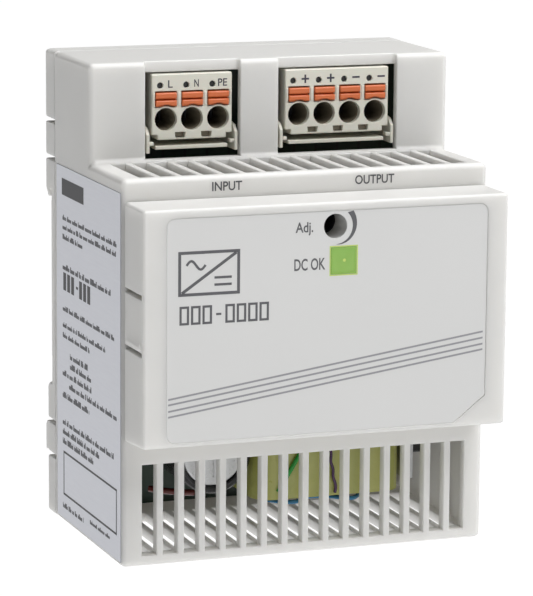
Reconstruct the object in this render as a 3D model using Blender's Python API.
"""DIN rail power supply, four modules wide, as separate parts. Metres, +Z up.

X is the width, the front faces -Y and the rail is at the back. The origin is the middle of the
underside of the bounding box. Lengths in the code are millimetres: to_object scales them once.
"""
import math

import bmesh
import bpy
from mathutils import Matrix, Vector

MM = 0.001
GAP = 0.3                      # clearance between pieces that touch
FLAT = 0.1                     # edges with a smaller angle, in radians, stay as they are

# Outside of the housing
SIDE = 36.0                    # half of the four modules of 18 mm
HEIGHT = 91.0
REAR = 29.5                    # plane of the hooks behind the rail's edge
NOSE_FRONT = -29.5
RAIL_SEAT = REAR - 4.0         # the rail's front face rests here
LOWER_REAR = REAR - 0.9        # rear face of the lower block
SEAM = 23.05                   # joint between rear housing and main shell
BLOCK_FRONT = 1.1              # face of the upper block with the terminals
BAND_FRONT = -18.5             # face behind the nose, with the lower vents
SHELF = 72.3                   # top face between upper block and nose
SHELF_WALL = 2.0
WALL = 1.8
FLOOR = 1.9                    # thickness of the underside, where the slots are
REAR_WALL = 1.6
PAST = 1.0                     # how far a cutter runs past the face that it cuts

# Rail recess
RAIL_TOP = 64.0                # the rail's upper edge sits in the groove below this height
LIP_BOTTOM = 62.6
LIP_CHAMFER = 1.4
RECESS_BOTTOM = 25.9
RAIL_FLANGE = 1.4              # groove for the 1 mm thick flange
SEAT = (31.4, 62.2)            # low and high z of the raised pad that the rail lies against
SEAT_HEIGHT = 0.15
LOWER_RAIL_EDGE = RAIL_TOP - 35.1

# Nose and its printed field
NOSE_SIDE = SIDE - 0.5
NOSE_TOP = 68.2
NOSE_BOTTOM = 24.2
NOSE_WALL = 1.6
FIELD = (-31.0, 31.4, 25.5, 66.5)          # x low, x high, z low, z high
FIELD_DEPTH = 0.8
FIELD_CHAMFER = (6.2, 4.9)                 # lower right corner
FIELD_RADIUS = 1.6
TRIMMER = (1.25, 63.7)                     # axis of the trimmer, x and z
TRIMMER_HOLE = 2.4
GUIDE_RADIUS = 3.1                          # screwdriver guide behind the trimmer hole
GUIDE_REAR = -22.8
TRIMMER_FRONT = -16.5
STATUS = (2.9, 57.3)                       # middle of the status window
STATUS_SIZE = 5.0
NOSE_FRONT_WALL = 2.2

# Clips at the sides of the nose
CLIP_SLITS = (41.8, 52.3)                  # heights of the slits beside each clip
CLIP_SLIT_FRONT = -28.5
SLIT = 0.8
CLIP_LEG = ((34.4, -24.0), (31.2, -24.0), (31.2, -14.4), (31.9, -13.6), (33.5, -15.2), (33.5, -15.7),
            (32.4, -15.7), (32.4, -19.6), (34.4, -19.6))
CLIP_RAMP_Y = (-28.4, -21.0)

# Vents
VENT_COUNT = 16
VENT_PITCH = 4.10
VENT_WIDTH = 2.85
VENT_START = -32.0
GRILLE = (2.0, 19.2)
BAR_DEPTH = 2.4
FLOOR_SLOTS = (-14.9, 13.0)                # low and high y
SHELF_SLOTS = (-16.8, 0.4)
FRONT_OPENING = ((-32.8, 32.8), (26.0, 66.4))   # behind the nose, x and z

# Rating label on the left side
LABEL_Y = (-17.4, 21.6)
LABEL_Z = (1.2, 69.4)
LABEL_MARGIN = 0.3
LABEL_FIELD_DEPTH = 0.55

# Terminals
POLE_PITCH = 5.16
INPUT_X, INPUT_POLES = -15.6, 3
OUTPUT_X, OUTPUT_POLES = 13.5, 4
WINDOWS = ((-25.0, -6.2), (1.4, 25.5))
WINDOW_TOP = 88.9
SILL = 0.4                                 # low edge of each window above the shelf
LINTEL_SETBACK = 1.3
SETBACK_RADIUS = 0.6
PLUG_FRONT, PLUG_REAR = 1.7, 11.9
PLUG_BOTTOM, PLUG_TOP = 76.2, 88.6
FUNNEL_Z = 80.05
FUNNEL_RADIUS = 2.25
FUNNEL_END = (8.4, 2.0)                      # depth of the wire entry and its radius there
CLAMP_FRONT = 9.2
PIN_FRONT = 9.5
BUTTON = (82.5, 85.1)                      # bottom and top of a push-button
BUTTON_HALF = 2.15
BUTTON_CLEARANCE = 0.2
BUTTON_ARC = 2.85                          # hollow under the button, round the wire entry
BUTTON_GROOVE = 83.8
TEST_HOLE = (-1.15, 86.45)                 # beside the pole's middle, and height

# Tabs, board fastenings and rail foot
TAB_SLITS = ((77.5, REAR), (70.3, REAR), (18.5, REAR), (11.8, LOWER_REAR))   # height and rear edge
TAB_SLIT_DEPTH = 2.0
TAB_WALL = 2.6
REAR_TAB = (12.2, 18.1)
BOARD_FRONT, BOARD_REAR = 18.4, 20.0
COMPONENT_FOOT = BOARD_FRONT - GAP         # components stand here and point forwards
BOARD_SCREWS = ((-30.5, 84.5), (30.5, 6.5))
BOSS_RADIUS = 2.6
SCREW_HOLE = 1.5
SCREW_REACH = 3.0
CHANNEL_HALF = 11.0
CHANNEL_FLOOR = 24.7
FOOT_HALF = 10.6
FOOT_STEM_HALF = 9.0
FOOT_STEP = 26.6
PEG = (9.0, 11.0)                          # block of the rear housing under the foot spring
PEG_HALF = 1.6
SCREWDRIVER_SLOT = (2.2, 4.2)
SPRING_TOP = 21.7
SPRING_Y = 26.45
SPRING_RADIUS = 1.05
SPRING_WIRE = 0.22


# ---------------------------------------------------------------- shapes in millimetres

def box(bm, x, y, z):
    """A block between the low and high value of each axis."""
    size = [high - low for low, high in (x, y, z)]
    centre = [(low + high) / 2 for low, high in (x, y, z)]
    bmesh.ops.create_cube(bm, size=1.0, matrix=Matrix.Translation(centre) @ Matrix.Diagonal((*size, 1)))


def placed(axis, u, v, along):
    """A point of an outline: (y, z) for an X prism, (x, z) for Y and (x, y) for Z."""
    return {"X": (along, u, v), "Y": (u, along, v), "Z": (u, v, along)}[axis]


def prism(bm, outline, axis, low, high):
    """The outline, extruded along the axis."""
    ends = [[bm.verts.new(placed(axis, u, v, along)) for u, v in outline] for along in (low, high)]
    for ring in ends:
        bm.faces.new(ring)
    join_rings(bm, ends)


def join_rings(bm, rings):
    """Side faces between each ring of vertices and the next."""
    for first, second in zip(rings, rings[1:]):
        for i in range(len(first)):
            j = (i + 1) % len(first)
            bm.faces.new((first[i], first[j], second[j], second[i]))


def rod(bm, axis, centre, radius, low, high, sides=24):
    """A round bar."""
    turned(bm, axis, centre, [(low, radius), (high, radius)], sides)


def turned(bm, axis, centre, profile, sides=32):
    """A solid of revolution from (along, radius) pairs, closed by flat ends."""
    rings = [[bm.verts.new(placed(axis, u, v, along)) for u, v in circle(centre, radius, sides)]
             for along, radius in profile]
    bm.faces.new(rings[0])
    bm.faces.new(rings[-1])
    join_rings(bm, rings)


def circle(centre, radius, sides):
    turns = (2 * math.pi * (i + 0.5) / sides for i in range(sides))
    return [(centre[0] + radius * math.cos(a), centre[1] + radius * math.sin(a)) for a in turns]


def arc(centre, radius, start, end, steps):
    """Points on a circle from one angle to another, in degrees."""
    angles = (math.radians(start + (end - start) * i / steps) for i in range(steps + 1))
    return [(centre[0] + radius * math.cos(a), centre[1] + radius * math.sin(a)) for a in angles]


def round_rectangle(u, v, radius, steps=3):
    """An outline between low and high u and v, with round corners."""
    corners = ((u[1], v[1], 0), (u[0], v[1], 90), (u[0], v[0], 180), (u[1], v[0], 270))
    points = []
    for cu, cv, turn in corners:
        middle = (cu - math.copysign(radius, cu - sum(u) / 2), cv - math.copysign(radius, cv - sum(v) / 2))
        points += arc(middle, radius, turn, turn + 90, steps)
    return points


def tube(bm, axis, outer, inner, low, high):
    """A wall between two outlines that have the same number of points."""
    rings = []
    for outline, along in ((outer, low), (outer, high), (inner, high), (inner, low)):
        rings.append([bm.verts.new(placed(axis, u, v, along)) for u, v in outline])
    join_rings(bm, rings + rings[:1])


def round_edges(bm, radius, segments, chosen):
    """Rounds the edges whose middle passes the test."""
    bmesh.ops.recalc_face_normals(bm, faces=bm.faces)
    bent = [edge for edge in bm.edges if edge.calc_face_angle(0) > FLAT]
    edges = [edge for edge in bent if chosen((edge.verts[0].co + edge.verts[1].co) / 2)]
    bmesh.ops.bevel(bm, geom=edges, offset=radius, segments=segments, profile=0.5, affect="EDGES",
                    clamp_overlap=True)


# ---------------------------------------------------------------- objects

def to_object(name, bm, origin=(0, 0, 0)):
    """An object from a bmesh in millimetres, with its own origin."""
    bmesh.ops.recalc_face_normals(bm, faces=bm.faces)
    bmesh.ops.translate(bm, verts=bm.verts, vec=-Vector(origin))
    bmesh.ops.scale(bm, verts=bm.verts, vec=(MM, MM, MM))
    mesh = bpy.data.meshes.new(name)
    bm.to_mesh(mesh)
    bm.free()
    obj = bpy.data.objects.new(name, mesh)
    obj.location = Vector(origin) * MM
    bpy.context.collection.objects.link(obj)
    return obj


def finish(name, look):
    """The sub-part's own material: colour, roughness and metallic value."""
    colour, roughness, metallic = look
    material = bpy.data.materials.new(name + "_finish")
    material.use_nodes = True
    shader = material.node_tree.nodes["Principled BSDF"]
    shader.inputs["Base Color"].default_value = (*colour, 1)
    shader.inputs["Roughness"].default_value = roughness
    shader.inputs["Metallic"].default_value = metallic
    return material


def part(name, bm, look, origin=(0, 0, 0)):
    """A sub-part: its object is smooth where it is round."""
    obj = to_object(name, bm, origin)
    obj.data.shade_smooth()
    obj.data.set_sharp_from_angle(angle=math.radians(30))
    obj.data.materials.append(finish(name, look))
    return obj


def combine(obj, bm, operation):
    """Cuts the bmesh out of the object, or fuses it on, with a modifier."""
    tool = to_object(f"{obj.name}_{operation.lower()}_{len(obj.modifiers)}", bm)
    tool.hide_render = True
    tool.display_type = "WIRE"
    modifier = obj.modifiers.new(operation.title(), "BOOLEAN")
    modifier.operation = operation
    modifier.object = tool
    modifier.use_self = True


def cut(obj, bm):
    combine(obj, bm, "DIFFERENCE")


def fuse(obj, bm):
    combine(obj, bm, "UNION")


PLASTIC = ((0.62, 0.61, 0.60), 0.45, 0.0)
CONNECTOR = ((0.70, 0.69, 0.62), 0.40, 0.0)
ORANGE = ((0.66, 0.17, 0.05), 0.40, 0.0)
BLACK = ((0.02, 0.02, 0.02), 0.45, 0.0)
GREEN_BOARD = ((0.02, 0.14, 0.05), 0.40, 0.0)
STEEL = ((0.55, 0.56, 0.57), 0.30, 1.0)
TINNED = ((0.70, 0.70, 0.68), 0.25, 1.0)
ALUMINIUM = ((0.66, 0.67, 0.68), 0.40, 1.0)
FERRITE = ((0.06, 0.06, 0.06), 0.60, 0.0)
COPPER = ((0.60, 0.22, 0.08), 0.30, 1.0)
LACQUER = ((0.06, 0.10, 0.06), 0.50, 0.0)
YELLOW_BOX = ((0.55, 0.48, 0.08), 0.45, 0.0)
YELLOW_TAPE = ((0.62, 0.60, 0.12), 0.35, 0.0)
GREEN_SLEEVE = ((0.03, 0.10, 0.06), 0.40, 0.0)
GREEN_WINDOW = ((0.28, 0.52, 0.12), 0.30, 0.0)
GREEN_RESIN = ((0.30, 0.70, 0.20), 0.20, 0.0)
SILVER_FILM = ((0.55, 0.56, 0.60), 0.30, 0.3)
CLEAR_SHEET = ((0.75, 0.75, 0.70), 0.30, 0.0)
BLUE = ((0.05, 0.12, 0.35), 0.40, 0.0)
OFF_WHITE = ((0.62, 0.62, 0.58), 0.35, 0.0)


# ---------------------------------------------------------------- housing

def vent_slots():
    """Low and high x of each vent."""
    starts = (VENT_START + VENT_PITCH * i for i in range(VENT_COUNT))
    return [(start, start + VENT_WIDTH) for start in starts]


def rear_profile():
    """Side outline of the rear housing, as (y, z): blocks above and below the rail recess."""
    front = SEAM + GAP / 2
    bed = RAIL_SEAT - SEAT_HEIGHT
    groove = RAIL_SEAT + RAIL_FLANGE
    lower = [(front, 0), (LOWER_REAR, 0), (LOWER_REAR, RECESS_BOTTOM - 0.5),
             (LOWER_REAR - 0.8, RECESS_BOTTOM)]
    recess = [(bed, RECESS_BOTTOM), (bed, SEAT[0]), (RAIL_SEAT, SEAT[0]), (RAIL_SEAT, SEAT[1]),
              (bed, SEAT[1]), (bed, RAIL_TOP), (groove, RAIL_TOP)]
    upper = [(groove, LIP_BOTTOM), (REAR - LIP_CHAMFER, LIP_BOTTOM), (REAR, LIP_BOTTOM + LIP_CHAMFER),
             (REAR, HEIGHT), (front, HEIGHT)]
    return lower + recess + upper


def slit_outline(height, rear):
    """A slit from the seam to the rear edge, flared where the tabs' corners are round."""
    flare = [(rear - 1.2, SLIT / 2), (rear - 0.5, SLIT / 2 + 0.25), (rear + 0.1, SLIT / 2 + 1.0)]
    upper = [(SEAM - PAST, SLIT / 2)] + flare
    return [(y, height + z) for y, z in upper] + [(y, height - z) for y, z in reversed(upper)]


def on_rear_edge(point):
    """The outer edges of the blocks and the side edges of the underside and the top."""
    return point.y > LOWER_REAR - 0.6 or (point.y > SEAM + PAST and not 0.1 < point.z < HEIGHT - 0.1)


def side_wall(side, inner, outer):
    """Low and high x of a stretch on the left (-1) or right (1) side."""
    return sorted((side * inner, side * outer))


def make_rear_housing():
    bm = bmesh.new()
    prism(bm, rear_profile(), "X", -SIDE, SIDE)
    round_edges(bm, 1.0, 3, on_rear_edge)
    housing = part("rear_housing", bm, PLASTIC)

    tabs = bmesh.new()
    for side in (-1, 1):
        box(tabs, side_wall(side, SIDE - TAB_WALL, SIDE), (SEAM + 2, REAR), REAR_TAB)
    fuse(housing, tabs)

    hollow = bmesh.new()
    inside = SIDE - WALL
    front = SEAM - PAST
    box(hollow, (-inside, inside), (front, REAR - REAR_WALL), (RAIL_TOP + WALL, HEIGHT - WALL))
    box(hollow, (-inside, inside), (front, RAIL_SEAT - REAR_WALL), (RECESS_BOTTOM - 3, RAIL_TOP + 3))
    for side in (-1, 1):
        x = side_wall(side, CHANNEL_HALF + WALL, inside)
        box(hollow, x, (front, LOWER_REAR - REAR_WALL), (WALL, RECESS_BOTTOM - REAR_WALL))
    cut(housing, hollow)

    channel = bmesh.new()
    stem = FOOT_STEM_HALF + GAP
    top = LOWER_RAIL_EDGE - 0.2
    box(channel, (-CHANNEL_HALF, CHANNEL_HALF), (CHANNEL_FLOOR, FOOT_STEP + GAP), (-PAST, top))
    box(channel, (-stem, stem), (FOOT_STEP, REAR), (-PAST, RECESS_BOTTOM + PAST))
    for side in (-1, 1):
        x = side_wall(side, SIDE - TAB_SLIT_DEPTH, SIDE + PAST)
        for height, rear in TAB_SLITS:
            prism(channel, slit_outline(height, rear), "X", *x)
    cut(housing, channel)

    bosses = bmesh.new()
    box(bosses, (-PEG_HALF, PEG_HALF), (CHANNEL_FLOOR - 0.5, REAR - 1.9), PEG)
    for x, z in BOARD_SCREWS:
        back = REAR if z > RAIL_TOP else LOWER_REAR
        rod(bosses, "Y", (x, z), BOSS_RADIUS, BOARD_REAR + GAP, back - REAR_WALL / 2, 16)
    fuse(housing, bosses)

    holes = bmesh.new()
    for x, z in BOARD_SCREWS:
        rod(holes, "Y", (x, z), SCREW_HOLE, BOARD_REAR - PAST, BOARD_REAR + SCREW_REACH + GAP, 12)
    cut(housing, holes)


def make_main_shell():
    rear = SEAM - GAP / 2
    bm = bmesh.new()
    outline = [(rear, 0), (BAND_FRONT, 0), (BAND_FRONT, SHELF), (BLOCK_FRONT, SHELF),
               (BLOCK_FRONT, HEIGHT), (rear, HEIGHT)]
    prism(bm, outline, "X", -SIDE, SIDE)
    round_edges(bm, 1.1, 3, lambda p: p.y < rear - 0.1 and not (p.z == SHELF and p.y > BAND_FRONT + 1))
    shell = part("main_shell", bm, PLASTIC)

    hollow = bmesh.new()
    inside = SIDE - WALL
    behind_bars = BAND_FRONT + BAR_DEPTH
    roof = SHELF - SHELF_WALL
    cavity = [(rear + PAST, FLOOR), (behind_bars, FLOOR), (behind_bars, roof), (BLOCK_FRONT + WALL, roof),
              (BLOCK_FRONT + WALL, WINDOW_TOP), (rear + PAST, WINDOW_TOP)]
    prism(hollow, cavity, "X", -inside, inside)
    cut(shell, hollow)

    openings = bmesh.new()
    through_band = (BAND_FRONT - PAST, behind_bars + PAST)
    for x in vent_slots():
        box(openings, x, through_band, GRILLE)
        box(openings, x, FLOOR_SLOTS, (-PAST, FLOOR + PAST))
        box(openings, x, SHELF_SLOTS, (roof - PAST, SHELF + PAST))
    box(openings, FRONT_OPENING[0], through_band, FRONT_OPENING[1])
    cut(shell, openings)

    windows = bmesh.new()
    for x in WINDOWS:
        box(windows, x, (BLOCK_FRONT - PAST, BLOCK_FRONT + WALL + PAST), (SHELF + SILL, WINDOW_TOP))
    cut(shell, windows)

    setback = bmesh.new()
    for low, high in WINDOWS:
        corner = BLOCK_FRONT + LINTEL_SETBACK - SETBACK_RADIUS
        top = [(low, BLOCK_FRONT - PAST), (high, BLOCK_FRONT - PAST)]
        top += arc((high - SETBACK_RADIUS, corner), SETBACK_RADIUS, 0, 90, 3)
        top += arc((low + SETBACK_RADIUS, corner), SETBACK_RADIUS, 90, 180, 3)
        prism(setback, top, "Z", SHELF + SILL, HEIGHT + PAST)
    cut(shell, setback)

    label_field = bmesh.new()
    margin = LABEL_MARGIN
    box(label_field, (-SIDE - PAST, -SIDE + LABEL_FIELD_DEPTH), (LABEL_Y[0] - margin, LABEL_Y[1] + margin),
        (LABEL_Z[0] - margin, LABEL_Z[1] + margin))
    cut(shell, label_field)


def field_outline(inset):
    """Outline of the field on the nose, as (x, z), with its cut corner."""
    low_x, high_x, low_z, high_z = (FIELD[0] + inset, FIELD[1] - inset, FIELD[2] + inset, FIELD[3] - inset)
    radius = FIELD_RADIUS - inset
    cut_x, cut_z = FIELD_CHAMFER
    trim = inset * 0.4
    points = arc((high_x - radius, high_z - radius), radius, 0, 90, 4)
    points += arc((low_x + radius, high_z - radius), radius, 90, 180, 4)
    points += arc((low_x + radius, low_z + radius), radius, 180, 270, 4)
    return points + [(high_x - cut_x + trim, low_z), (high_x, low_z + cut_z - trim)]


def make_front_cover():
    rear = BAND_FRONT - GAP
    bm = bmesh.new()
    outline = [(rear, NOSE_BOTTOM - 0.3), (NOSE_FRONT, NOSE_BOTTOM + 0.5), (NOSE_FRONT, NOSE_TOP),
               (rear, NOSE_TOP)]
    prism(bm, outline, "X", -NOSE_SIDE, NOSE_SIDE)
    round_edges(bm, 0.6, 3, lambda p: p.y < rear - 0.1)
    cover = part("front_cover", bm, PLASTIC)

    hollow = bmesh.new()
    inside = NOSE_SIDE - NOSE_WALL
    box(hollow, (-inside, inside), (NOSE_FRONT + NOSE_FRONT_WALL, rear + PAST),
        (NOSE_BOTTOM + NOSE_WALL, NOSE_TOP - NOSE_WALL))
    prism(hollow, field_outline(0), "Y", NOSE_FRONT - PAST, NOSE_FRONT + FIELD_DEPTH)
    cut(cover, hollow)

    legs = bmesh.new()
    middle = sum(CLIP_SLITS) / 2
    for side in (-1, 1):
        prism(legs, [(side * x, y) for x, y in CLIP_LEG], "Z", middle - 4, middle + 4)
        prism(legs, [(side * x, z) for x, z in clip_ramp()], "Y", *CLIP_RAMP_Y)
    rod(legs, "Y", TRIMMER, GUIDE_RADIUS, NOSE_FRONT + NOSE_FRONT_WALL / 2, GUIDE_REAR, 32)
    fuse(cover, legs)

    holes = bmesh.new()
    front_holes(holes, GUIDE_REAR + PAST)
    for side in (-1, 1):
        x = side_wall(side, NOSE_SIDE - NOSE_WALL - 0.3, SIDE + PAST)
        for z in CLIP_SLITS:
            box(holes, x, (CLIP_SLIT_FRONT, rear + PAST), (z - SLIT / 2, z + SLIT / 2))
    cut(cover, holes)


def clip_ramp():
    """Outline, as (x, z), of the finger ramp on each side of the nose."""
    foot, top = NOSE_SIDE - 0.6, NOSE_SIDE + 0.4
    return [(foot, 46.2), (top, 43.6), (top, 42.8), (foot, 42.8)]


def front_holes(bm, rear):
    """Cutters for the trimmer hole and the status window, as deep as rear."""
    depth = (NOSE_FRONT - PAST, rear)
    rod(bm, "Y", TRIMMER, TRIMMER_HOLE, *depth, 32)
    half = STATUS_SIZE / 2 + GAP / 2
    box(bm, (STATUS[0] - half, STATUS[0] + half), depth, (STATUS[1] - half, STATUS[1] + half))


def make_front_panel():
    bm = bmesh.new()
    prism(bm, field_outline(GAP / 2), "Y", NOSE_FRONT + 0.15, NOSE_FRONT + FIELD_DEPTH - GAP)
    panel = part("front_panel", bm, PLASTIC)
    holes = bmesh.new()
    front_holes(holes, NOSE_FRONT + FIELD_DEPTH + PAST)
    cut(panel, holes)


def make_status_light():
    bm = bmesh.new()
    half = STATUS_SIZE / 2
    x, z = STATUS
    box(bm, (x - half, x + half), (NOSE_FRONT + 0.1, NOSE_FRONT + 3.6), (z - half, z + half))
    part("status_window", bm, GREEN_WINDOW)
    bm = bmesh.new()
    dome = [(-25.6, 0.5), (-25.3, 1.1), (-24.5, 1.5)]
    turned(bm, "Y", STATUS, dome + [(-22.0, 1.5), (-22.0, 1.9), (-21.0, 1.9)], 20)
    part("status_led", bm, GREEN_RESIN)


def make_rating_label():
    bm = bmesh.new()
    box(bm, (-SIDE + 0.02, -SIDE + 0.22), LABEL_Y, LABEL_Z)
    part("rating_label", bm, SILVER_FILM)


# ---------------------------------------------------------------- rail foot

def make_rail_foot():
    bm = bmesh.new()
    box(bm, (-FOOT_HALF, FOOT_HALF), (CHANNEL_FLOOR + GAP, FOOT_STEP), (0.4, LOWER_RAIL_EDGE - 0.5))
    foot = part("rail_foot", bm, PLASTIC)
    hook = bmesh.new()
    top = LOWER_RAIL_EDGE + 2.0
    back = LOWER_REAR - 0.2
    hook_front = RAIL_SEAT + RAIL_FLANGE - 0.2
    profile = [(FOOT_STEP - 0.3, 0.4), (back, 0.4), (back, top - 1.2), (back - 0.7, top),
               (hook_front + 0.9, top), (hook_front, top - 0.9), (hook_front, LOWER_RAIL_EDGE - 0.5),
               (FOOT_STEP - 0.3, LOWER_RAIL_EDGE - 0.5)]
    prism(hook, profile, "X", -FOOT_STEM_HALF, FOOT_STEM_HALF)
    fuse(foot, hook)
    chamber = bmesh.new()
    box(chamber, (-2.0, 2.0), (CHANNEL_FLOOR - PAST, REAR - 1.5), (PEG[0] - GAP, SPRING_TOP + GAP))
    box(chamber, (-3.0, 3.0), (FOOT_STEP - 0.4, REAR), SCREWDRIVER_SLOT)
    cut(foot, chamber)


def make_rail_foot_spring():
    turns, steps = 7, 14
    curve = bpy.data.curves.new("rail_foot_spring", "CURVE")
    curve.dimensions = "3D"
    curve.bevel_depth = SPRING_WIRE * MM
    curve.bevel_resolution = 1
    curve.use_fill_caps = True
    low, high = PEG[1] + GAP + SPRING_WIRE, SPRING_TOP - SPRING_WIRE
    spline = curve.splines.new("POLY")
    spline.points.add(turns * steps)
    for i, point in enumerate(spline.points):
        angle = 2 * math.pi * i / steps
        position = Vector((SPRING_RADIUS * math.cos(angle), SPRING_Y + SPRING_RADIUS * math.sin(angle),
                           low + (high - low) * i / (turns * steps)))
        point.co = (*(position * MM), 1)
    spring = bpy.data.objects.new("rail_foot_spring", curve)
    bpy.context.collection.objects.link(spring)
    curve.materials.append(finish("rail_foot_spring", STEEL))


# ---------------------------------------------------------------- terminals

def pole_positions(middle, poles):
    return [middle + POLE_PITCH * (i - (poles - 1) / 2) for i in range(poles)]


def plug_half(poles):
    return (POLE_PITCH * poles + 0.4) / 2


def make_header(name, middle, poles):
    """Socket on the board, with a strip below the plug and a latching arm at each side of it."""
    half = plug_half(poles)
    rear = COMPONENT_FOOT
    front = PLUG_REAR + GAP
    bm = bmesh.new()
    box(bm, (middle - half - 1.1, middle + half + 1.1), (front, rear), (73.7, PLUG_TOP - 0.2))
    header = part(f"{name}_header", bm, CONNECTOR)

    front_parts = bmesh.new()
    strip = (middle - half + 0.8, middle + half - 0.8)
    box(front_parts, strip, (PLUG_FRONT + 0.2, front + 0.4), (74.4, 75.1))
    for side in (-1, 1):
        arm = sorted((middle + side * (half + 0.45), middle + side * (half + 1.1)))
        outline = [(front + 0.4, 73.8), (front + 0.4, 80.4), (2.8, 78.5), (1.5, 77.3), (1.5, 73.8)]
        prism(front_parts, outline, "X", *arm)
    fuse(header, front_parts)

    catches = bmesh.new()
    for side in (-1, 1):
        catch = sorted((middle + side * (half - 0.4), middle + side * (half + 0.8)))
        box(catches, catch, (1.6, 3.2), (75.2, 75.9))
    fuse(header, catches)

    holes = bmesh.new()
    for x in pole_positions(middle, poles):
        box(holes, (x - 0.75, x + 0.75), (front - 1, rear + 1), (FUNNEL_Z - 0.75, FUNNEL_Z + 0.75))
    cut(header, holes)

    for number, x in enumerate(pole_positions(middle, poles), start=1):
        bm = bmesh.new()
        box(bm, (x - 0.45, x + 0.45), (PIN_FRONT, rear), (FUNNEL_Z - 0.45, FUNNEL_Z + 0.45))
        part(f"{name}_pin_{number}", bm, TINNED)


def make_plug(name, middle, poles):
    """Plug body with wire entries, test holes, pockets for the buttons and room for the clamps."""
    half = plug_half(poles)
    bm = bmesh.new()
    box(bm, (middle - half, middle + half), (PLUG_FRONT, PLUG_REAR), (PLUG_BOTTOM, PLUG_TOP))
    round_edges(bm, 0.3, 1, lambda p: p.y < PLUG_REAR - 0.1)
    plug = part(f"{name}_plug", bm, CONNECTOR, (middle, PLUG_REAR, FUNNEL_Z))

    entries, pockets = bmesh.new(), bmesh.new()
    positions = pole_positions(middle, poles)
    for x in positions:
        turned(entries, "Y", (x, FUNNEL_Z),
               [(PLUG_FRONT - 0.5, FUNNEL_RADIUS), (PLUG_FRONT + 1.2, FUNNEL_RADIUS),
                FUNNEL_END, (FUNNEL_END[0] + 0.2, 1.45), (CLAMP_FRONT, 1.45)], 24)
        rod(entries, "Y", (x + TEST_HOLE[0], TEST_HOLE[1]), 0.58, PLUG_FRONT - 1, PLUG_FRONT + 4, 12)
        prism(pockets, button_outline(x, BUTTON_CLEARANCE), "Y", PLUG_FRONT - 1, PLUG_FRONT + 6.0)
        box(pockets, (x - 1.7, x + 1.7), (CLAMP_FRONT - GAP, PLUG_REAR + PAST),
            (FUNNEL_Z - 1.9, FUNNEL_Z + 1.75))
    for left, right in zip(positions, positions[1:]):
        slot = (left + right) / 2 + 0.25
        box(entries, (slot - 1.05, slot + 1.05), (PLUG_FRONT - 1, PLUG_FRONT + 2.5), (76.55, 77.6))
    cut(plug, entries)
    cut(plug, pockets)

    for number, x in enumerate(positions, start=1):
        bm = bmesh.new()
        outer = round_rectangle((x - 1.4, x + 1.4), (FUNNEL_Z - 1.6, FUNNEL_Z + 1.45), 0.4, 1)
        inner = round_rectangle((x - 1.0, x + 1.0), (FUNNEL_Z - 1.2, FUNNEL_Z + 1.05), 0.3, 1)
        tube(bm, "Y", outer, inner, CLAMP_FRONT, PLUG_REAR - 0.5)
        part(f"{name}_clamp_{number}", bm, STEEL, (x, PLUG_REAR, FUNNEL_Z))


def button_outline(x, grow):
    """Front outline of a push-button, hollowed from below around its wire entry."""
    low, high, half = BUTTON[0] - grow, BUTTON[1] + grow, BUTTON_HALF + grow
    radius = BUTTON_ARC - grow
    corner = math.degrees(math.asin((low - FUNNEL_Z) / radius))
    hollow = arc((x, FUNNEL_Z), radius, corner, 180 - corner, 6)
    return [(x - half, high), (x + half, high), (x + half, low)] + hollow + [(x - half, low)]


def make_buttons(name, middle, poles):
    for number, x in enumerate(pole_positions(middle, poles), start=1):
        bm = bmesh.new()
        front = PLUG_FRONT - 0.4
        prism(bm, button_outline(x, 0), "Y", front, PLUG_FRONT + 4.2)
        button = part(f"{name}_button_{number}", bm, ORANGE, (x, front, BUTTON_GROOVE))
        groove = bmesh.new()
        profile = [(front - 0.2, BUTTON_GROOVE + 0.35), (front + 0.35, BUTTON_GROOVE),
                   (front - 0.2, BUTTON_GROOVE - 0.35)]
        prism(groove, profile, "X", x - BUTTON_HALF - PAST, x + BUTTON_HALF + PAST)
        cut(button, groove)


# ---------------------------------------------------------------- boards and their fastenings

def make_boards():
    bm = bmesh.new()
    box(bm, (-33.6, 33.6), (BOARD_FRONT, BOARD_REAR), (2.4, 88.4))
    board = part("main_board", bm, GREEN_BOARD)
    holes = bmesh.new()
    for x, z in BOARD_SCREWS:
        rod(holes, "Y", (x, z), SCREW_HOLE, BOARD_FRONT - PAST, BOARD_REAR + PAST, 12)
    cut(board, holes)

    bm = bmesh.new()
    box(bm, (-3.2, -1.6), (-22.5, COMPONENT_FOOT), (50.5, 66.0))
    part("signal_board", bm, GREEN_BOARD)

    bm = bmesh.new()
    box(bm, (-33.0, 33.0), (21.6, 21.9), (27.5, 63.0))
    part("insulating_sheet", bm, CLEAR_SHEET)


def make_board_screws():
    """Pan head screws: head radius 2 and height 1.4, shank radius 1.2."""
    for number, centre in enumerate(BOARD_SCREWS, start=1):
        bm = bmesh.new()
        under = BOARD_FRONT - GAP
        turned(bm, "Y", centre, [(under - 1.4, 1.4), (under - 0.9, 2.0), (under, 2.0), (under, 1.2),
                                 (BOARD_REAR + SCREW_REACH, 1.2)], 12)
        part(f"board_screw_{number}", bm, STEEL)


def make_trimmer():
    x, z = TRIMMER
    front = TRIMMER_FRONT
    bm = bmesh.new()
    box(bm, (x - 2.5, x + 2.5), (front + 0.7, front + 5.3), (z - 2.5, z + 2.5))
    body = part("trimmer_body", bm, BLUE)
    hole = bmesh.new()
    rod(hole, "Y", TRIMMER, 2.0, front - 0.3, front + 2.7, 20)
    cut(body, hole)
    bm = bmesh.new()
    rod(bm, "Y", TRIMMER, 1.7, front, front + 2.4, 20)
    rotor = part("trimmer_rotor", bm, OFF_WHITE, (x, front, z))
    slots = bmesh.new()
    box(slots, (x - 1.3, x + 1.3), (front - PAST, front + 0.8), (z - 0.3, z + 0.3))
    box(slots, (x - 0.3, x + 0.3), (front - PAST, front + 0.8), (z - 1.3, z + 0.2))
    cut(rotor, slots)


# ---------------------------------------------------------------- components of the power stage

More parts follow.
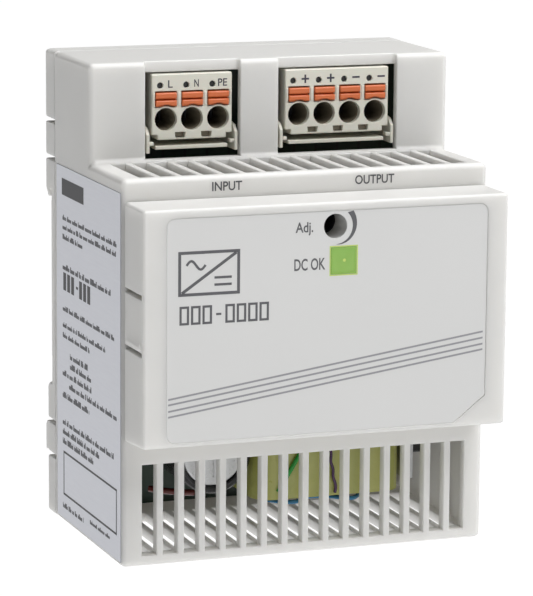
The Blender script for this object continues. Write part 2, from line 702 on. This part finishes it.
def standing_can(bm, x, z, radius, front):
    """An electrolytic capacitor that points forwards, with a rolled groove and a rim."""
    foot = COMPONENT_FOOT
    turned(bm, "Y", (x, z), [(front, radius - 0.5), (front + 0.4, radius), (foot - 3.4, radius),
                             (foot - 2.7, radius - 0.5), (foot - 2.0, radius), (foot, radius)], 32)


def standing_disc(name, x, z, radius, thickness, look):
    """A disc with its edge on the board and its two legs."""
    bm = bmesh.new()
    y = COMPONENT_FOOT - radius - 1.4
    turned(bm, "Z", (x, y), [(z - thickness / 2, radius - 0.9), (z - thickness / 4, radius),
                             (z + thickness / 4, radius), (z + thickness / 2, radius - 0.9)], 20)
    disc = part(name, bm, look)
    legs = bmesh.new()
    for side in (-1, 1):
        rod(legs, "Y", (x + side * 2.5, z), 0.35, y + radius * 0.5, COMPONENT_FOOT, 8)
    fuse(disc, legs)


def block(name, x, y, z, look, radius=0.5):
    """A moulded box with its front edges chamfered."""
    bm = bmesh.new()
    box(bm, x, y, z)
    round_edges(bm, radius, 1, lambda p: p.y < y[1] - 0.1)
    return part(name, bm, look)


def make_input_side():
    foot = COMPONENT_FOOT
    bm = bmesh.new()
    turned(bm, "Y", (-28.6, 66.6), [(9.9, 3.8), (10.3, 4.2), (foot, 4.2)], 24)
    part("fuse", bm, BLACK)
    standing_disc("inrush_thermistor", x=-18.0, z=68.0, radius=5.5, thickness=4.0, look=LACQUER)
    block("x_capacitor", x=(-33.0, -19.0), y=(4.0, foot), z=(51.0, 60.0), look=YELLOW_BOX)
    block("bridge_rectifier", x=(-31.0, -11.5), y=(0.0, foot), z=(28.0, 31.4), look=BLACK, radius=0.4)
    block("controller_chip", x=(4.5, 9.5), y=(16.5, foot), z=(47.0, 51.0), look=BLACK, radius=0.3)
    block("optocoupler", x=(0.2, 4.8), y=(14.6, foot), z=(54.0, 60.4), look=BLACK, radius=0.3)

    bm = bmesh.new()
    outer = round_rectangle((-31.5, -17.5), (2.0, 16.4), 1.0, 1)
    inner = round_rectangle((-27.4, -21.6), (6.1, 12.3), 0.5, 1)
    tube(bm, "Z", outer, inner, 37.4, 45.4)
    part("line_choke_core", bm, FERRITE)
    bm = bmesh.new()
    outer = round_rectangle((-33.0, -25.8), (35.6, 47.2), 1.5, 2)
    inner = round_rectangle((-31.8, -27.1), (37.1, 45.7), 0.4, 2)
    tube(bm, "Y", outer, inner, 6.6, 11.8)
    part("line_choke_winding", bm, COPPER)

    bm = bmesh.new()
    standing_can(bm, x=-14.8, z=17.8, radius=7.5, front=-9.5)
    part("bulk_capacitor", bm, BLACK)


def make_transformer():
    bm = bmesh.new()
    box(bm, (-5.4, 21.4), (-7.0, 10.0), (8.2, 37.0))
    core = part("transformer_core", bm, FERRITE)
    windows = bmesh.new()
    box(windows, (-1.8, 3.6), (-8.0, 11.0), (12.0, 33.0))
    box(windows, (12.4, 17.8), (-8.0, 11.0), (12.0, 33.0))
    cut(core, windows)

    bm = bmesh.new()
    outer = round_rectangle((-1.5, 17.5), (-9.6, 12.6), 3.0, 3)
    inner = round_rectangle((3.3, 12.7), (-7.3, 10.3), 0.3, 3)
    tube(bm, "Z", outer, inner, 12.4, 32.6)
    part("transformer_winding", bm, COPPER)

    bm = bmesh.new()
    outer = round_rectangle((-6.9, 22.9), (-10.8, 13.8), 3.6, 5)
    inner = round_rectangle((-6.1, 22.1), (-10.0, 13.0), 2.8, 5)
    tube(bm, "Z", outer, inner, 8.6, 33.4)
    part("transformer_tape", bm, YELLOW_TAPE)


def make_heatsinks():
    foot = COMPONENT_FOOT
    bm = bmesh.new()
    channel = [(-8.6, 39.6), (22.0, 39.6), (22.0, 46.0), (20.4, 46.0), (20.4, 41.2), (-7.0, 41.2),
               (-7.0, 46.0), (-8.6, 46.0)]
    prism(bm, channel, "Y", -6.0, foot)
    part("main_heatsink", bm, ALUMINIUM)
    block("power_transistor", x=(8.0, 18.0), y=(-3.0, 13.0), z=(41.5, 45.9), look=BLACK, radius=0.4)

    bm = bmesh.new()
    box(bm, (24.6, 26.2), (-8.0, foot), (10.0, 38.0))
    part("output_heatsink", bm, ALUMINIUM)
    block("output_diode", x=(26.5, 30.9), y=(-4.0, 12.0), z=(14.0, 24.5), look=BLACK, radius=0.4)


def make_output_side():
    bm = bmesh.new()
    standing_can(bm, x=27.6, z=53.0, radius=6.0, front=-4.0)
    part("output_capacitor", bm, GREEN_SLEEVE)
    bm = bmesh.new()
    flange, waist, foot = 6.0, 5.2, COMPONENT_FOOT
    drum = [(1.0, flange), (2.0, flange), (2.6, waist), (15.0, waist), (15.6, flange), (foot, flange)]
    turned(bm, "Y", (15.0, 57.0), drum, 24)
    part("output_inductor", bm, COPPER)


# ---------------------------------------------------------------- build

def clear_scene():
    for obj in list(bpy.data.objects):
        bpy.data.objects.remove(obj, do_unlink=True)


def main():
    clear_scene()
    make_rear_housing()
    make_main_shell()
    make_front_cover()
    make_front_panel()
    make_status_light()
    make_rating_label()
    make_rail_foot()
    make_rail_foot_spring()
    for name, middle, poles in (("input", INPUT_X, INPUT_POLES), ("output", OUTPUT_X, OUTPUT_POLES)):
        make_header(name, middle, poles)
        make_plug(name, middle, poles)
        make_buttons(name, middle, poles)
    make_boards()
    make_board_screws()
    make_trimmer()
    make_input_side()
    make_transformer()
    make_heatsinks()
    make_output_side()


main()
